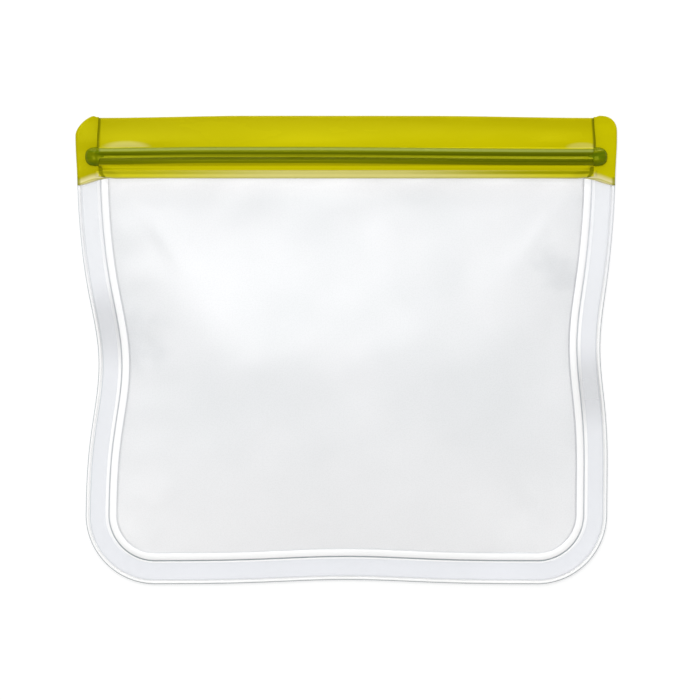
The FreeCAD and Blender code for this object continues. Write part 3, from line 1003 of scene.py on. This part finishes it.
def make_jaw(name, track, material):
    """Female track: a C-shaped channel with rounded lips, open towards the back."""
    half_slot = math.asin((JAW_SLOT + (JAW_OUTER - JAW_INNER) / 2) / ((JAW_OUTER + JAW_INNER) / 2))
    angles = np.linspace(-math.pi / 2 + half_slot, 1.5 * math.pi - half_slot, 30)
    around = np.stack([np.cos(angles), np.sin(angles)], axis=1)
    outer, inner = JAW_OUTER * around, JAW_INNER * around[::-1]
    section = np.concatenate([outer, lip_arc(outer[-1], inner[0]), inner, lip_arc(inner[-1], outer[0])])
    x, y = np.meshgrid(places_across(BACK_END), track + section[:, 0], indexing="ij")
    stations = np.stack([x, y, 0 * x + TRACK_Z + section[:, 1]], axis=-1)
    return sweep(name, stations, stations[..., :2], [material])


def lip_arc(start, end):
    """Half a circle from one point to another, without its ends."""
    centre, spoke = (start + end) / 2, (start - end) / 2
    turn = np.linspace(0, math.pi, 7)[1:-1]
    side = np.array([-spoke[1], spoke[0]])
    return centre + np.outer(np.cos(turn), spoke) + np.outer(np.sin(turn), side)


# ---------------------------------------------------------------- assembly

def make_bag():
    """Every piece, with the CAD nodes that it replaces and the body that it moves with."""
    frosted = frosted_film()
    header = tinted("header_film", header_colour)
    seal = tinted("seal_film", seal_colour, clear=0.12)
    lap = tinted("lap_film", lap_colour, clear=0.15, roughness=0.3)
    zip_plastic = tinted("zip_plastic", zip_colour, clear=0.0, roughness=0.2, grain=2.0)

    clear = clear_inner()
    front, back = make_pocket([frosted, clear])
    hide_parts("front_panel_lower", "front_panel_upper")
    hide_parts("back_panel")
    for obj, node in zip(make_border(clear), ("edge_bead", "weld_band", "seam_bead")):
        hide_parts(node)
        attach(obj, "bag")

    front_header = make_front_header([header])
    back_header = make_back_header([header])
    front_lap = make_lap("front_lap", header_base, [lap], LAP_HIGH[2] - LAP_LOW[2])
    back_lap = make_lap("back_lap", lambda x, y: 0 * x + BACK_LAP_TOP, [lap], BACK_LAP_TOP + LAP_ARCH)
    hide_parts("front_header_film")
    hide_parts("back_header_film")
    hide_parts("lap_weld_front")
    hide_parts("lap_weld_back")
    jaws = []
    for level, track in zip(("lower", "upper"), TRACKS):
        jaw = make_jaw("jaw_" + level, track, zip_plastic)
        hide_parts("jaw_track_" + level)
        jaws.append(jaw)
    for side in (-1, 1):
        flat = make_seal(side, [seal])
        stop = make_stop(side, zip_plastic)
        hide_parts("side_seal_" + side_name(side))
        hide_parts("zip_stop_" + side_name(side))
        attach(flat, "bag")
        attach(stop, "bag")

    for obj in (back, back_header, back_lap):
        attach(obj, "bag")
    for obj in [front, front_header, front_lap] + jaws:
        open_with_mouth(obj)
    dress_bulb_tracks(bulb_plastic())


def dress_bulb_tracks(plastic):
    """The two tracks that stay CAD nodes get the zip's plastic."""
    for node in ("bulb_track_lower", "bulb_track_upper"):
        for material_slot in frame["nodes"][node].material_slots:
            material_slot.material = plastic


# ---------------------------------------------------------------- studio

def make_floor():
    """A glowing white table under the bag."""
    floor = bpy.data.meshes.new("studio_floor")
    corners = [(-1, -1), (1, -1), (1, 1), (-1, 1)]
    floor.from_pydata([(FLOOR_REACH * x, FLOOR_REACH * y, 0) for x, y in corners], [], [(0, 1, 2, 3)])
    n = Nodes("studio_floor")
    shader = n.add("BsdfPrincipled", {
        "Base Color": grey(FLOOR_WHITE),
        "Roughness": 0.8,
        "Specular IOR Level": 0.0,
        "Emission Color": grey(1),
        "Emission Strength": FLOOR_GLOW,
    })
    floor.materials.append(n.finish(shader.outputs[0]))
    obj = bpy.data.objects.new("studio_floor", floor)
    obj.location.z = -FLOOR_GAP
    bpy.context.collection.objects.link(obj)


def make_surroundings():
    """Even light from all round, as white as the floor to the camera, and mirrored only from overhead."""
    world = bpy.data.worlds.new("studio")
    bpy.context.scene.world = world
    world.use_nodes = True
    tree = world.node_tree
    background = tree.nodes["Background"]
    background.inputs[0].default_value = (1, 1, 1, 1)
    rays = tree.nodes.new("ShaderNodeLightPath")
    place = tree.nodes.new("ShaderNodeTexCoord")
    split = tree.nodes.new("ShaderNodeSeparateXYZ")
    seen = tree.nodes.new("ShaderNodeMapRange")
    seen.inputs[3].default_value = WORLD_LIGHT
    seen.inputs[4].default_value = FLOOR_GLOW + FLOOR_WHITE * WORLD_LIGHT
    overhead = tree.nodes.new("ShaderNodeMapRange")
    overhead.inputs[4].default_value = WORLD_MIRRORED
    mirrored = tree.nodes.new("ShaderNodeMix")
    tree.links.new(place.outputs["Generated"], split.inputs[0])
    tree.links.new(split.outputs[2], overhead.inputs[0])
    tree.links.new(rays.outputs["Is Camera Ray"], seen.inputs[0])
    tree.links.new(rays.outputs["Is Glossy Ray"], mirrored.inputs[0])
    tree.links.new(seen.outputs[0], mirrored.inputs[2])
    tree.links.new(overhead.outputs[0], mirrored.inputs[3])
    tree.links.new(mirrored.outputs[0], background.inputs[1])


def add_softbox(name, place, wide, high, power):
    """A rectangular light, in metres and watts, that faces the bag."""
    light = bpy.data.lights.new(name, "AREA")
    light.shape = "RECTANGLE"
    light.size = wide
    light.size_y = high
    light.energy = power
    obj = bpy.data.objects.new(name, light)
    obj.location = place
    away = obj.location.normalized()
    obj.rotation_euler = away.to_track_quat("Z", "Y").to_euler()
    bpy.context.collection.objects.link(obj)


def make_camera():
    """Looks straight down on the bag."""
    camera = bpy.data.cameras.new("camera")
    camera.sensor_width = SENSOR
    camera.lens = SENSOR * CAMERA_HIGH / VIEW_WIDE
    camera.clip_end = 20
    obj = bpy.data.objects.new("camera", camera)
    obj.location = (CAMERA_X, 0.0, CAMERA_HIGH)
    bpy.context.collection.objects.link(obj)
    bpy.context.scene.camera = obj


make_bag()
make_floor()
make_surroundings()
add_softbox("key", place=(-0.25, 0.48, 1.05), wide=0.7, high=0.7, power=7.3)
add_softbox("strip", place=(0.05, 0.95, 0.22), wide=1.4, high=0.1, power=4.5)
make_camera()
bpy.context.scene.view_settings.view_transform = "Standard"
